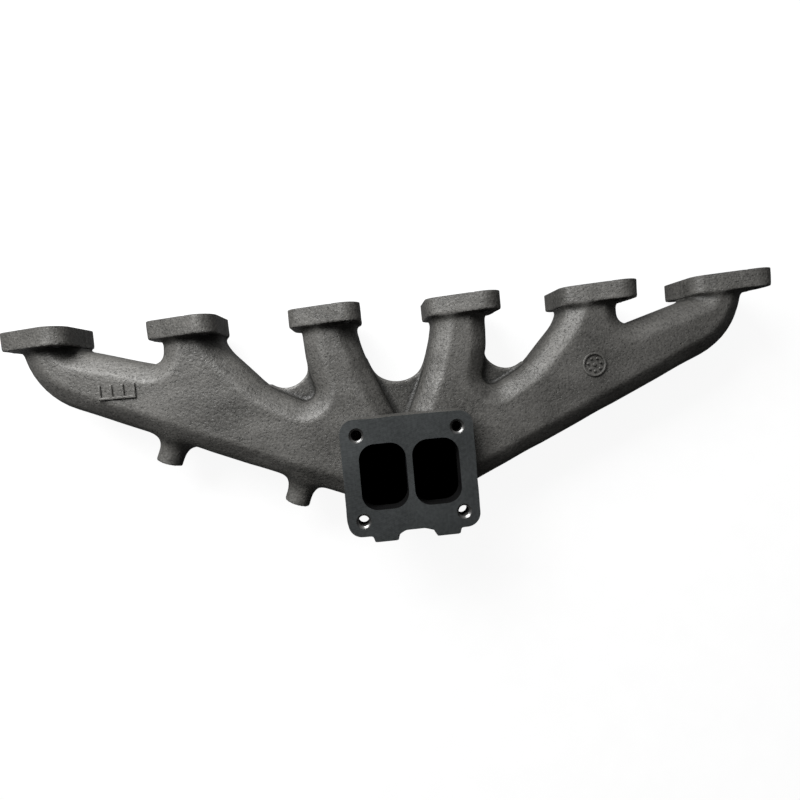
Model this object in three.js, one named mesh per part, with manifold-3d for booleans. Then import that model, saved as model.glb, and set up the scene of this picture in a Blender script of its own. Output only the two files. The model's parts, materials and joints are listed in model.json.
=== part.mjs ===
// Exhaust manifold of an inline six-cylinder diesel: one sand casting in iron.
// Six head flanges feed two logs, and the logs rise side by side to a twin-port turbo flange.
// Origin: centre of the turbo flange's face, on the divider between its two ports.
// +X runs along the engine, +Y points at the cylinder head, +Z points out of the turbo flange. mm.

import * as THREE from 'three';
import { mergeVertices } from 'three/addons/utils/BufferGeometryUtils.js';
import Module from 'manifold-3d';

const wasm = await Module();
wasm.setup();

// ---- Driving dimensions ----

// Cylinder head side
const PORT_COUNT = 6;
const PORT_PITCH = 120;
const HEAD_Y = 145; // turbo flange centre to the head face
const PORT_DROP = 52; // turbo flange face down to the port centres
const PORT_FLANGE_THICKNESS = 16;
const PORT_FLANGE_WIDTH = 64;
const PORT_FLANGE_CORNER = 14;
const PORT_FLANGE_SLANT = THREE.MathUtils.degToRad(23.3);
const STUD_SPACING_X = 36;
const STUD_SPACING_Z = 52;
const HEAD_STUD_HOLE = 11;

// Pipes
const PIPE_WIDTH = 50;
const PIPE_HEIGHT = 52;
const EDGE_SHARE = 0.365; // the long edges' rounding, as a share of the pipes' height
const WALL = 5.5;
const ELBOW_RADIUS = 68; // outside of the end elbows
const ELBOW_TUCK = 8.5; // the end runners are this much narrower on their outer side
const ELBOW_FILL = 1.5; // and this much wider on their inner side
const COLLECTOR_RISE = 12; // from the collector's bottom to where the logs' lower edges start
const RUN_ON = 10; // the outline runs this far past the head face before it is cut square

// Turbo side
const TURBO_FLANGE_WIDTH = 110;
const TURBO_FLANGE_DEPTH = 97;
const TURBO_FLANGE_THICKNESS = 18;
const TURBO_FLANGE_CORNER = 12;
const TURBO_HOLE_SPACING_X = 82.5;
const TURBO_HOLE_SPACING_Y = 69.9;
const TURBO_HOLE = 10;
const TURBO_PORT_WIDTH = 38.5;
const TURBO_PORT_DEPTH = 54;
const TURBO_PORT_CORNER = 13;
const DIVIDER = 5;
const FLANGE_LEDGE = 0.5; // turbo flange past the neck, on the head side
const FLANGE_OVERHANG = 0.5; // turbo flange past the neck's shoulders, at each end
const NECK_FOOT_Z = -34;
const NECK_SHOULDER_LOW_Y = 12;
const NECK_SHOULDER_HIGH_Y = 22;
const NECK_INSIDE_RADIUS = 6;
const NECK_OUTSIDE_RADIUS = 10;
const BLIND_HOLE_DEPTH = 8; // below the turbo flange
const STUB_WIDTH = 19.5;
const STUB_REACH = 5;
const STUB_THICKNESS = 12;
const STUB_DRAFT = 1.5;
const STUB_LEFT_X = -24;
const STUB_RIGHT_X = 27;

// Webs, bosses and foundry marks
const WEB_THICKNESS = 6;
const SIDE_WEB_ARC = 22.5;
const SIDE_WEB_START = Math.PI * 1.2;
const SIDE_WEB_DROP = 43; // head face down to the arc's centre
const SIDE_WEB_OFFSET = 20; // arc's centre from midway between its two runners
const SIDE_WEB_FOOT = 90; // head face down to inside the log
const SIDE_WEB_HALF = 34;
const MIDDLE_WEB_ARC = 28;
const MIDDLE_WEB_DROP = 41;
const MIDDLE_WEB_HALF = 32;
const BOSS_DIAMETER = 23;
const BOSS_REACH = 22;
const BOSS_CHAMFER = 1.5;
const BOSS_OUTER_OFFSET = 18.5; // outboard of port 2
const BOSS_INNER_OFFSET = 31; // outboard of port 3
const MARK_HEIGHT = 0.9;
const CLOCK_RADIUS = 10.5;
const CLOCK_RIM = 1.6;
const CLOCK_OFFSET = 10; // inboard of port 5
const CLOCK_DROP = 70; // below the head face
const TALLY_OFFSET = 56; // outboard of port 2
const TALLY_DROP = 57;
const TALLY_WIDTH = 30;
const TALLY_HEIGHT = 12;
const TALLY_BAR = 2.2;
const TALLY_BARS = 4;

const GAP = 0.3; // between neighbouring regions of the casting
const ROUND_STEP = Math.PI / 12;
const EDGE_STEPS = 3;
const HOLE_SIDES = 20;
const ROUND_SIDES = 32;

// ---- Sizes that follow ----

const halfPipe = PIPE_WIDTH / 2;
const endPipeWidth = PIPE_WIDTH - ELBOW_TUCK + ELBOW_FILL;
const pipeEdge = Math.min(PIPE_HEIGHT * EDGE_SHARE, endPipeWidth / 2 - 2);
const portUnderside = HEAD_Y - PORT_FLANGE_THICKNESS;
const beyondHead = HEAD_Y + pipeEdge + RUN_ON;
const midZ = -PORT_DROP;
const frontZ = midZ + PIPE_HEIGHT / 2;
const turboUnderside = -TURBO_FLANGE_THICKNESS;
const portOuterX = DIVIDER / 2 + TURBO_PORT_WIDTH;
const collectorSide = portOuterX + 2 * WALL;
const collectorBottom = -TURBO_PORT_DEPTH / 2 - WALL - DIVIDER / 3;
const collectorEnd = collectorSide + 2 * WALL;
const neckTop = TURBO_FLANGE_DEPTH / 2 - FLANGE_LEDGE;
const portX = (number) => (number - (PORT_COUNT + 1) / 2) * PORT_PITCH;

// ---- Colours ----

const castSkin = { color: 0x4a4946, roughness: 0.62, metalness: 0.75 };
const milledFace = { color: 0x505655, roughness: 0.4, metalness: 0.85 };
const rawMark = { color: 0x53524e, roughness: 0.6, metalness: 0.75 };

// ---- Solids ----

function solidOf(geometry) {
  const bare = geometry.clone();
  bare.deleteAttribute('normal');
  bare.deleteAttribute('uv');
  const merged = mergeVertices(bare, 1e-4);
  const mesh = new wasm.Mesh({
    numProp: 3,
    vertProperties: new Float32Array(merged.attributes.position.array),
    triVerts: new Uint32Array(merged.index.array),
  });
  return new wasm.Manifold(mesh);
}

function geometryOf(solid) {
  const mesh = solid.getMesh();
  const geometry = new THREE.BufferGeometry();
  geometry.setAttribute('position', new THREE.BufferAttribute(mesh.vertProperties, 3));
  geometry.setIndex(new THREE.BufferAttribute(mesh.triVerts, 1));
  geometry.computeVertexNormals();
  return geometry;
}

// A closed outline through corners [x, y, radius], each corner rounded by an arc.
function roundedOutline(corners) {
  const points = [];
  corners.forEach(([x, y, radius], index) => {
    const here = new THREE.Vector2(x, y);
    const before = corners[(index + corners.length - 1) % corners.length];
    const after = corners[(index + 1) % corners.length];
    const back = new THREE.Vector2(before[0], before[1]).sub(here).normalize();
    const ahead = new THREE.Vector2(after[0], after[1]).sub(here).normalize();
    const half = Math.acos(THREE.MathUtils.clamp(back.dot(ahead), -1, 1)) / 2;
    if (!radius || half > Math.PI / 2 - 0.01) {
      points.push(here);
      return;
    }
    const centre = here.clone().addScaledVector(back.clone().add(ahead).normalize(), radius / Math.sin(half));
    const start = here.clone().addScaledVector(back, radius / Math.tan(half)).sub(centre);
    const turn = Math.PI - 2 * half;
    const side = Math.sign(back.cross(ahead)) || 1;
    const steps = Math.max(1, Math.ceil(turn / ROUND_STEP));
    for (let step = 0; step <= steps; step += 1) {
      const spun = start.clone().rotateAround(new THREE.Vector2(), (-side * turn * step) / steps);
      points.push(spun.add(centre));
    }
  });
  return new THREE.Shape(points);
}

function prism(shape, lowZ, highZ) {
  const geometry = new THREE.ExtrudeGeometry(shape, { depth: highZ - lowZ, bevelEnabled: false });
  geometry.translate(0, 0, lowZ);
  return solidOf(geometry);
}

function block(lowX, highX, lowY, highY, lowZ, highZ) {
  const geometry = new THREE.BoxGeometry(highX - lowX, highY - lowY, highZ - lowZ);
  geometry.translate((lowX + highX) / 2, (lowY + highY) / 2, (lowZ + highZ) / 2);
  return solidOf(geometry);
}

// A drilled hole or a round post: radius, axis direction and its two ends along that axis.
function drill(centre, axis, radius, from, to, sides = HOLE_SIDES) {
  const geometry = new THREE.CylinderGeometry(radius, radius, to - from, sides);
  geometry.translate(0, (from + to) / 2, 0);
  geometry.applyQuaternion(new THREE.Quaternion().setFromUnitVectors(new THREE.Vector3(0, 1, 0), axis));
  geometry.translate(centre.x, centre.y, centre.z);
  return solidOf(geometry);
}

// ---- The casting's outline, seen from the turbo side ----

// Corners of the front half as [x, y, rounding radius], going clockwise from the collector's bottom.
function frontCorners() {
  const endX = portX(1);
  const secondX = portX(2);
  const thirdX = portX(3);
  const collector = [
    [-collectorSide + 4 * WALL, collectorBottom, 26],
    [-collectorSide, collectorBottom + COLLECTOR_RISE, 24],
  ];
  // The end elbow sweeps from the log's lower edge up to port 1.
  const endRunner = [
    [endX - halfPipe + ELBOW_TUCK, HEAD_Y - 52, ELBOW_RADIUS],
    [endX - halfPipe + ELBOW_TUCK, beyondHead, 0],
    [endX + halfPipe + ELBOW_FILL, beyondHead, 0],
    [endX + halfPipe + ELBOW_FILL, HEAD_Y - 17, 6],
  ];
  // Runner 2 stands nearly straight, then blends down into the log on its inboard side.
  const secondRunner = [
    [secondX - 21, HEAD_Y - 38, 9],
    [secondX - 19, beyondHead, 0],
    [secondX + 25, beyondHead, 0],
    [secondX + 27, HEAD_Y - 21, 45],
    [secondX + 66, HEAD_Y - 64, 60],
  ];
  // Runner 3 leans in from its port to the collector.
  const thirdRunner = [
    [thirdX - 9, HEAD_Y - 88, 9],
    [thirdX - 20, HEAD_Y - 48, 60],
    [thirdX - 24, beyondHead, 0],
    [thirdX + 25, beyondHead, 0],
    [thirdX + 27, HEAD_Y - 24, 60],
    [thirdX + 37, HEAD_Y - 59, 80],
  ];
  return [...collector, ...endRunner, ...secondRunner, ...thirdRunner, [-5, neckTop - 4, 0]];
}

function castingOutline() {
  const front = frontCorners();
  const rear = front.map(([x, y, radius]) => [-x, y, radius]).reverse();
  return roundedOutline([...front, ...rear]);
}

// The outline given depth, with every long edge rounded over, drawn in from the casting's skin.
function pillow(inset) {
  const radius = pipeEdge - inset;
  const geometry = new THREE.ExtrudeGeometry(castingOutline(), {
    depth: PIPE_HEIGHT - 2 * pipeEdge,
    bevelEnabled: true,
    bevelThickness: radius,
    bevelSize: radius,
    bevelOffset: -pipeEdge,
    bevelSegments: EDGE_STEPS,
  });
  geometry.translate(0, 0, midZ - PIPE_HEIGHT / 2 + pipeEdge);
  return solidOf(geometry);
}

// ---- Gas passages ----

function turboPort(side) {
  const near = (side * DIVIDER) / 2;
  const far = side * portOuterX;
  const reach = TURBO_PORT_DEPTH / 2;
  return roundedOutline([
    [near, -reach, TURBO_PORT_CORNER],
    [far, -reach, TURBO_PORT_CORNER],
    [far, reach, TURBO_PORT_CORNER],
    [near, reach, TURBO_PORT_CORNER],
  ]);
}

// One side's passage: three runners, a log and the throat up to its port.
function passage(side) {
  const farX = portX(PORT_COUNT) + PORT_PITCH;
  const [lowX, highX] = side < 0 ? [-farX, -DIVIDER / 2] : [DIVIDER / 2, farX];
  const sideOnly = block(lowX, highX, -farX, farX, -farX, farX);
  const throat = prism(turboPort(side), midZ, TURBO_FLANGE_THICKNESS);
  return pillow(WALL).intersect(sideOnly).add(throat);
}

const gas = passage(-1).add(passage(1));
const skin = pillow(0);

// ---- Turbo flange, neck and divider ----

function turboHoles(fromZ, toZ, upperOnly = false) {
  const centres = [];
  for (const x of [-TURBO_HOLE_SPACING_X / 2, TURBO_HOLE_SPACING_X / 2]) {
    for (const y of [-TURBO_HOLE_SPACING_Y / 2, TURBO_HOLE_SPACING_Y / 2]) {
      if (!upperOnly || y > 0) {
        centres.push(new THREE.Vector3(x, y, 0));
      }
    }
  }
  const up = new THREE.Vector3(0, 0, 1);
  return centres.map((centre) => drill(centre, up, TURBO_HOLE / 2, fromZ, toZ));
}

function makeTurboFlange() {
  const halfX = TURBO_FLANGE_WIDTH / 2;
  const halfY = TURBO_FLANGE_DEPTH / 2;
  const outline = roundedOutline([
    [-halfX, -halfY, TURBO_FLANGE_CORNER],
    [halfX, -halfY, TURBO_FLANGE_CORNER],
    [halfX, halfY, TURBO_FLANGE_CORNER],
    [-halfX, halfY, TURBO_FLANGE_CORNER],
  ]);
  let plate = prism(outline, turboUnderside, 0).subtract(gas);
  for (const hole of turboHoles(turboUnderside - 1, 1)) {
    plate = plate.subtract(hole);
  }
  return plate;
}

// The neck hugs both ports at the bottom and spreads under the upper stud holes.
function neckBlock(grow) {
  const shoulder = TURBO_FLANGE_WIDTH / 2 - FLANGE_OVERHANG + grow;
  const hug = portOuterX + WALL + grow;
  const bottom = -TURBO_PORT_DEPTH / 2 - WALL - grow;
  const outline = roundedOutline([
    [-hug, bottom, TURBO_PORT_CORNER + WALL],
    [hug, bottom, TURBO_PORT_CORNER + WALL],
    [hug, NECK_SHOULDER_LOW_Y, NECK_INSIDE_RADIUS],
    [shoulder, NECK_SHOULDER_HIGH_Y, NECK_INSIDE_RADIUS],
    [shoulder, neckTop + grow, NECK_OUTSIDE_RADIUS],
    [-shoulder, neckTop + grow, NECK_OUTSIDE_RADIUS],
    [-shoulder, NECK_SHOULDER_HIGH_Y, NECK_INSIDE_RADIUS],
    [-hug, NECK_SHOULDER_LOW_Y, NECK_INSIDE_RADIUS],
  ]);
  return prism(outline, NECK_FOOT_Z - grow, turboUnderside - GAP + 2 * grow);
}

function makeTurboNeck() {
  let neck = neckBlock(0).subtract(gas);
  for (const hole of turboHoles(turboUnderside - BLIND_HOLE_DEPTH, 0, true)) {
    neck = neck.subtract(hole);
  }
  return neck;
}

const farAway = portX(PORT_COUNT) + PORT_PITCH;
const shell = skin.subtract(gas).subtract(neckBlock(GAP));

function makeDivider() {
  const slice = block(-DIVIDER / 2, DIVIDER / 2, -farAway, farAway, -farAway, farAway);
  return skin.subtract(neckBlock(GAP)).intersect(slice);
}

function makeGateStub(centreX) {
  const edge = -TURBO_FLANGE_DEPTH / 2 - GAP;
  const half = STUB_WIDTH / 2;
  const outline = new THREE.Shape([
    new THREE.Vector2(centreX - half - STUB_DRAFT, edge),
    new THREE.Vector2(centreX - half, edge - STUB_REACH),
    new THREE.Vector2(centreX + half, edge - STUB_REACH),
    new THREE.Vector2(centreX + half + STUB_DRAFT, edge),
  ]);
  return prism(outline, -STUB_THICKNESS, 0);
}

// ---- Head flanges ----

// A slanted plate: its studs sit on one diagonal, above and below the port.
function makePortFlange(number) {
  const halfX = PORT_FLANGE_WIDTH / 2;
  const holeX = STUD_SPACING_X / 2;
  const holeZ = STUD_SPACING_Z / 2;
  const slope = Math.tan(PORT_FLANGE_SLANT);
  const aboveStud = PORT_FLANGE_CORNER / Math.cos(PORT_FLANGE_SLANT);
  const highZ = holeZ + aboveStud + (halfX - holeX) * slope;
  const lowZ = highZ - PORT_FLANGE_WIDTH * slope;
  const outline = roundedOutline([
    [-halfX, -highZ, PORT_FLANGE_CORNER],
    [halfX, -lowZ, PORT_FLANGE_CORNER],
    [halfX, highZ, PORT_FLANGE_CORNER],
    [-halfX, lowZ, PORT_FLANGE_CORNER],
  ]);
  const geometry = new THREE.ExtrudeGeometry(outline, {
    depth: PORT_FLANGE_THICKNESS,
    bevelEnabled: false,
  });
  geometry.rotateX(Math.PI / 2);
  geometry.translate(portX(number), HEAD_Y, midZ);
  let plate = solidOf(geometry).subtract(gas);
  const towardsHead = new THREE.Vector3(0, 1, 0);
  for (const side of [-1, 1]) {
    const centre = new THREE.Vector3(portX(number) + side * holeX, 0, midZ + side * holeZ);
    plate = plate.subtract(
      drill(centre, towardsHead, HEAD_STUD_HOLE / 2, portUnderside - 1, HEAD_Y + 1),
    );
  }
  return plate;
}

// ---- Runners and logs ----

// Where each runner of the front half ends and the log starts, as a line drawn across the outline.
function runnerCuts() {
  const end = portX(1);
  const second = portX(2);
  const third = portX(3);
  return [
    [[end - 90, HEAD_Y - 190], [end + 30, HEAD_Y - 105], [second - 50, HEAD_Y - 18]],
    [[second - 38, HEAD_Y - 33], [second + 85, HEAD_Y - 82]],
    [[third - 24, HEAD_Y - 81], [-DIVIDER / 2 - GAP, neckTop + 1]],
  ];
}

const sideOf = (number) => (portX(number) < 0 ? -1 : 1);

// Everything on the head side of a runner's cut line. Growing it takes a joint out of the log.
function runnerRegion(number, grow) {
  const side = sideOf(number);
  const order = side < 0 ? number : PORT_COUNT + 1 - number;
  const cut = runnerCuts()[order - 1];
  const isEnd = order === 1;
  const isInner = order === PORT_COUNT / 2;
  const line = cut.map(([x, y]) => (isEnd ? [x + grow, y] : [x, y - grow]));
  const innerX = cut[cut.length - 1][0] + (isInner ? 0 : grow);
  line[line.length - 1][0] = innerX;
  const corners = [...line, [innerX, HEAD_Y], [cut[0][0] - grow, HEAD_Y]];
  const points = corners.map(([x, y]) => new THREE.Vector2(-side * x, y));
  return prism(new THREE.Shape(points), -farAway, farAway);
}

// Both sides of the divider's slice, up to the head flanges.
const sideBlocks = [
  block(-farAway, -DIVIDER / 2 - GAP, -farAway, portUnderside - GAP, -farAway, farAway),
  block(DIVIDER / 2 + GAP, farAway, -farAway, portUnderside - GAP, -farAway, farAway),
];
const [frontShell, rearShell] = sideBlocks.map((half) => shell.intersect(half));
const shellOn = (side) => (side < 0 ? frontShell : rearShell);

function makeRunner(number) {
  return shellOn(sideOf(number)).intersect(runnerRegion(number, 0));
}

// The collector is the part of a log under the turbo neck.
function logAndCollector(side) {
  let whole = shellOn(side);
  for (let number = 1; number <= PORT_COUNT; number += 1) {
    if (sideOf(number) === side) {
      whole = whole.subtract(runnerRegion(number, GAP));
    }
  }
  const under = block(-collectorEnd, collectorEnd, -farAway, farAway, -farAway, farAway);
  const past = collectorEnd + GAP;
  const beside = block(-past, past, -farAway, farAway, -farAway, farAway);
  return { log: whole.subtract(beside), collector: whole.intersect(under) };
}

// ---- Webs, bosses and marks ----

const grownSkin = pillow(-GAP);

// A thin plate on the casting's mid plane, scooped by an arc on its free edge.
// The arc starts at startAngle, measured anticlockwise from +X, on the outer runner's side.
function makeWeb({ centre, arc, startAngle, halfWidth, footY, mirror = 1 }) {
  const [centreX, centreY] = centre;
  const sweep = 2 * Math.PI - startAngle;
  const steps = Math.ceil(sweep / ROUND_STEP);
  const points = [];
  for (let step = 0; step <= steps; step += 1) {
    const angle = startAngle + (sweep * step) / steps;
    points.push([centreX + arc * Math.cos(angle), centreY + arc * Math.sin(angle)]);
  }
  const [, startY] = points[0];
  points.push([centreX + halfWidth, centreY]);
  points.push([centreX + halfWidth, footY]);
  points.push([centreX - halfWidth, footY]);
  points.push([centreX - halfWidth, startY]);
  const shape = new THREE.Shape(points.map(([x, y]) => new THREE.Vector2(mirror * x, y)));
  const plate = prism(shape, midZ - WEB_THICKNESS / 2, midZ + WEB_THICKNESS / 2);
  return plate.subtract(grownSkin).subtract(neckBlock(GAP));
}

function makeSideWeb(mirror) {
  return makeWeb({
    centre: [(portX(2) + portX(3)) / 2 + SIDE_WEB_OFFSET, HEAD_Y - SIDE_WEB_DROP],
    arc: SIDE_WEB_ARC,
    startAngle: SIDE_WEB_START,
    halfWidth: SIDE_WEB_HALF,
    footY: HEAD_Y - SIDE_WEB_FOOT,
    mirror,
  });
}

function makeMiddleWeb() {
  return makeWeb({
    centre: [0, HEAD_Y - MIDDLE_WEB_DROP],
    arc: MIDDLE_WEB_ARC,
    startAngle: Math.PI,
    halfWidth: MIDDLE_WEB_HALF,
    footY: neckTop - 4,
  });
}

// A sawn-off riser standing square to the log's lower edge.
function makeBoss(x) {
  const [, inner, outer] = frontCorners();
  const start = new THREE.Vector2(inner[0], inner[1]);
  const along = new THREE.Vector2(outer[0], outer[1]).sub(start).normalize();
  const foot = start.clone().addScaledVector(along, (x - start.x) / along.x);
  const outward = new THREE.Vector3(-along.y, along.x, 0);
  const radius = BOSS_DIAMETER / 2;
  const profile = [
    [0, -pipeEdge],
    [radius, -pipeEdge],
    [radius, BOSS_REACH - BOSS_CHAMFER],
    [radius - BOSS_CHAMFER, BOSS_REACH],
    [0, BOSS_REACH],
  ];
  const geometry = new THREE.LatheGeometry(
    profile.map(([across, reach]) => new THREE.Vector2(across, reach)),
    HOLE_SIDES,
  );
  geometry.applyQuaternion(new THREE.Quaternion().setFromUnitVectors(new THREE.Vector3(0, 1, 0), outward));
  geometry.translate(foot.x, foot.y, midZ);
  return solidOf(geometry).subtract(grownSkin);
}

function makeDateClock() {
  const up = new THREE.Vector3(0, 0, 1);
  const centre = new THREE.Vector3(portX(5) - CLOCK_OFFSET, HEAD_Y - CLOCK_DROP, 0);
  const low = frontZ + GAP;
  const high = low + MARK_HEIGHT;
  const outer = drill(centre, up, CLOCK_RADIUS, low, high, ROUND_SIDES);
  const inner = drill(centre, up, CLOCK_RADIUS - CLOCK_RIM, low - 1, high + 1, ROUND_SIDES);
  return outer.subtract(inner);
}

// A ladder of short bars joined by one rail.
function makeTallyMark() {
  const low = frontZ + GAP;
  const high = low + MARK_HEIGHT;
  const leftX = portX(2) - TALLY_OFFSET - TALLY_WIDTH / 2;
  const footY = HEAD_Y - TALLY_DROP - TALLY_HEIGHT / 2;
  let mark = block(leftX, leftX + TALLY_WIDTH, footY, footY + TALLY_BAR, low, high);
  for (let bar = 0; bar < TALLY_BARS; bar += 1) {
    const x = leftX + ((TALLY_WIDTH - TALLY_BAR) * bar) / (TALLY_BARS - 1);
    mark = mark.add(block(x, x + TALLY_BAR, footY, footY + TALLY_HEIGHT, low, high));
  }
  return mark;
}

// ---- Assembly ----

const manifold = new THREE.Group();
manifold.name = 'exhaust_manifold';

function place(name, solid, finish) {
  const mesh = new THREE.Mesh(geometryOf(solid), new THREE.MeshStandardMaterial(finish));
  mesh.name = name;
  manifold.add(mesh);
}

for (let number = 1; number <= PORT_COUNT; number += 1) {
  place(`port_flange_${number}`, makePortFlange(number), milledFace);
  place(`runner_${number}`, makeRunner(number), castSkin);
}
for (const [end, side] of [['front', -1], ['rear', 1]]) {
  const { log, collector } = logAndCollector(side);
  place(`${end}_log`, log, castSkin);
  place(`${end}_collector`, collector, castSkin);
}
place('scroll_divider', makeDivider(), castSkin);
place('turbo_neck', makeTurboNeck(), castSkin);
place('turbo_flange', makeTurboFlange(), milledFace);
place('gate_stub_left', makeGateStub(STUB_LEFT_X), castSkin);
place('gate_stub_right', makeGateStub(STUB_RIGHT_X), castSkin);
place('web_2_3', makeSideWeb(1), castSkin);
place('web_3_4', makeMiddleWeb(), castSkin);
place('web_4_5', makeSideWeb(-1), castSkin);
place('boss_outer', makeBoss(portX(2) - BOSS_OUTER_OFFSET), castSkin);
place('boss_inner', makeBoss(portX(3) - BOSS_INNER_OFFSET), castSkin);
place('date_clock', makeDateClock(), rawMark);
place('tally_mark', makeTallyMark(), rawMark);

export default manifold;
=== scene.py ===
import json
import math

import bmesh
import bpy
import numpy as np
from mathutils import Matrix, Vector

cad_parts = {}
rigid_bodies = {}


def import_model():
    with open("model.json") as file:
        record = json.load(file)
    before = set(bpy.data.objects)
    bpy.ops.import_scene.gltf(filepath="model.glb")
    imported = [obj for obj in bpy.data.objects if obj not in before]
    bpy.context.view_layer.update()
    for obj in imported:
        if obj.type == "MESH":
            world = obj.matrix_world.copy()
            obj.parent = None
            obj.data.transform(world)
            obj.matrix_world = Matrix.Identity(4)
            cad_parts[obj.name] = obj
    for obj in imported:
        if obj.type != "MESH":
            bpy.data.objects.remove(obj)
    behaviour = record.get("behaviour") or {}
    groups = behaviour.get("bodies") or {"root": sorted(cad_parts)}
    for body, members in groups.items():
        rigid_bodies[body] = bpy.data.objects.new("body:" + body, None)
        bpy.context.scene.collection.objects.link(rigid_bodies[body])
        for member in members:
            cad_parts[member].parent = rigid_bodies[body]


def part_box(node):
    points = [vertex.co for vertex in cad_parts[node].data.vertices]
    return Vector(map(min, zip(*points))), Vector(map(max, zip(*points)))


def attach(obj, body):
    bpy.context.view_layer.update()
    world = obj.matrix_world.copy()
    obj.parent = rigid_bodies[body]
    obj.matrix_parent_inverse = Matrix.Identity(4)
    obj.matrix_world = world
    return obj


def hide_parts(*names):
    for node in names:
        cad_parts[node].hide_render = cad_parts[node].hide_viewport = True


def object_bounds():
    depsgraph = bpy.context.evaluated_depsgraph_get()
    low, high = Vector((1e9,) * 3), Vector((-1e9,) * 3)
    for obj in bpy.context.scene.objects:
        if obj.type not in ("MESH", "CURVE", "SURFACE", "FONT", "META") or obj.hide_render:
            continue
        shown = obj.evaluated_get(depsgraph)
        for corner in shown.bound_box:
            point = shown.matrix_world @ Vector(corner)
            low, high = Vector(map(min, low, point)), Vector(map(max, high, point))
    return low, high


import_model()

import openvdb
from mathutils import Matrix, Vector

cad_box = [list(corner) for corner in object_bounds()]

# ==== The pattern's body: logs and runners ====
# The real manifold is one pour of grey iron. Its pattern is a tree of tubes with flat front and
# back, and a soft ridge where each face turns into a sloping flank. The parting line runs round the
# middle of their depth. Plan sizes are in mm.

GRID = 0.00125
GRID_MARGIN = 0.01
TUBE_WALL = 0.0055
TUBE_EDGE = 0.019
FLANK_SLOPE = math.radians(36)
FLANK_REACH = 0.93
RIDGE = 0.0016
ARC_STEP = math.radians(7)

port_boxes = [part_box(f"port_flange_{number}") for number in range(1, 7)]
port_x = [(low.x + high.x) / 2 for low, high in port_boxes]
plate_y, head_y = port_boxes[0][0].y, port_boxes[0][1].y
log_low, log_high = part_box("front_log")
parting_z = (log_low.z + log_high.z) / 2
tube_half = (log_high.z - log_low.z) / 2
collector_low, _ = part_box("front_collector")
neck_low, neck_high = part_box("turbo_neck")


def rounded(corners):
    """A closed outline through corners (x, y, radius), in their order, each rounded by an arc."""
    points = []
    for index, (x, y, radius) in enumerate(corners):
        here = Vector((x, y))
        back = (Vector(corners[index - 1][:2]) - here).normalized()
        ahead = (Vector(corners[(index + 1) % len(corners)][:2]) - here).normalized()
        half = math.acos(max(-1.0, min(1.0, back.dot(ahead)))) / 2
        if radius == 0 or half > math.pi / 2 - 0.01:
            points.append(here)
            continue
        centre = here + (back + ahead).normalized() * (radius / math.sin(half))
        start = here + back * (radius / math.tan(half)) - centre
        turn = math.pi - 2 * half
        side = 1 if back.x * ahead.y - back.y * ahead.x > 0 else -1
        steps = max(1, math.ceil(turn / ARC_STEP))
        for step in range(steps + 1):
            points.append(centre + Matrix.Rotation(-side * turn * step / steps, 2) @ start)
    return np.array([tuple(point) for point in points])


def tree_outline():
    """The outside of logs and runners in plan, front half first, then its mirror image."""
    end, second, third = [x * 1000 for x in port_x[:3]]
    head, past = head_y * 1000, head_y * 1000 + 29
    low, neck = collector_low.y * 1000, neck_high.y * 1000
    front = [
        (-30, low, 26), (-52, low + 12, 24),
        (end - 16.5, head - 52, 68), (end - 16.5, past, 0),
        (end + 26.5, past, 0), (end + 26.5, head - 17, 6),
        (second - 21, head - 38, 9), (second - 19, past, 0),
        (second + 25, past, 0), (second + 27, head - 21, 45),
        (second + 66, head - 64, 60), (third - 9, head - 88, 9),
        (third - 20, head - 48, 60), (third - 24, past, 0),
        (third + 25, past, 0), (third + 27, head - 24, 60),
        (third + 37, head - 59, 80), (-5, neck - 4, 0),
    ]
    rear = [(-x, y, radius) for x, y, radius in reversed(front)]
    return rounded(front + rear) / 1000


def distance_to(outline, x, y):
    """Signed distance from each x, y to a closed outline, negative inside."""
    nearest = np.full(np.broadcast(x, y).shape, 1e9)
    inside = np.zeros(nearest.shape, bool)
    for (ax, ay), (bx, by) in zip(outline, np.roll(outline, -1, 0)):
        ex, ey = bx - ax, by - ay
        along = np.clip(((x - ax) * ex + (y - ay) * ey) / (ex * ex + ey * ey + 1e-18), 0, 1)
        nearest = np.minimum(nearest, (x - ax - along * ex) ** 2 + (y - ay - along * ey) ** 2)
        crossed = (ay > y) != (by > y)
        inside ^= crossed & (x < ax + (y - ay) * ex / (ey if abs(ey) > 1e-12 else 1e-12))
    return np.where(inside, -1, 1) * np.sqrt(nearest)


def slab(flat, depth, edge):
    """A flat shape given depth, from its distance across and down, with rounded edges."""
    across, down = flat + edge, depth + edge
    corner = np.hypot(np.maximum(across, 0), np.maximum(down, 0))
    return np.minimum(np.maximum(across, down), 0) + corner - edge


def join(one, other, fillet):
    """Two shapes run together with a fillet in the corner between them."""
    near = np.maximum(fillet - np.abs(one - other), 0) / fillet
    return np.minimum(one, other) - near * near * fillet / 4


grid_low = np.array(cad_box[0]) - GRID_MARGIN
grid_count = np.ceil((np.array(cad_box[1]) + GRID_MARGIN - grid_low) / GRID).astype(int) + 1
lines = [grid_low[axis] + GRID * np.arange(grid_count[axis]) for axis in range(3)]
tree = tree_outline()
tree_distance = distance_to(tree, lines[0][:, None], lines[1][None, :])


def part_of_grid(low, high):
    """The grid's slices that cover a box."""
    first = np.maximum(np.floor((np.array(low) - grid_low) / GRID).astype(int), 0)
    last = np.minimum(np.ceil((np.array(high) - grid_low) / GRID).astype(int) + 1, grid_count)
    return tuple(slice(a, b) for a, b in zip(first, last))


def places(part):
    """The x, y and z of a part of the grid, shaped to spread over it."""
    x, y, z = (lines[axis][part[axis]] for axis in range(3))
    return x[:, None, None], y[None, :, None], z[None, None, :]


def tubes(part, inset, edge):
    _, _, z = places(part)
    flat = tree_distance[part[0], part[1]][:, :, None] + inset
    return slab(flat, np.abs(z - parting_z) - tube_half + inset, edge)


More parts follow.
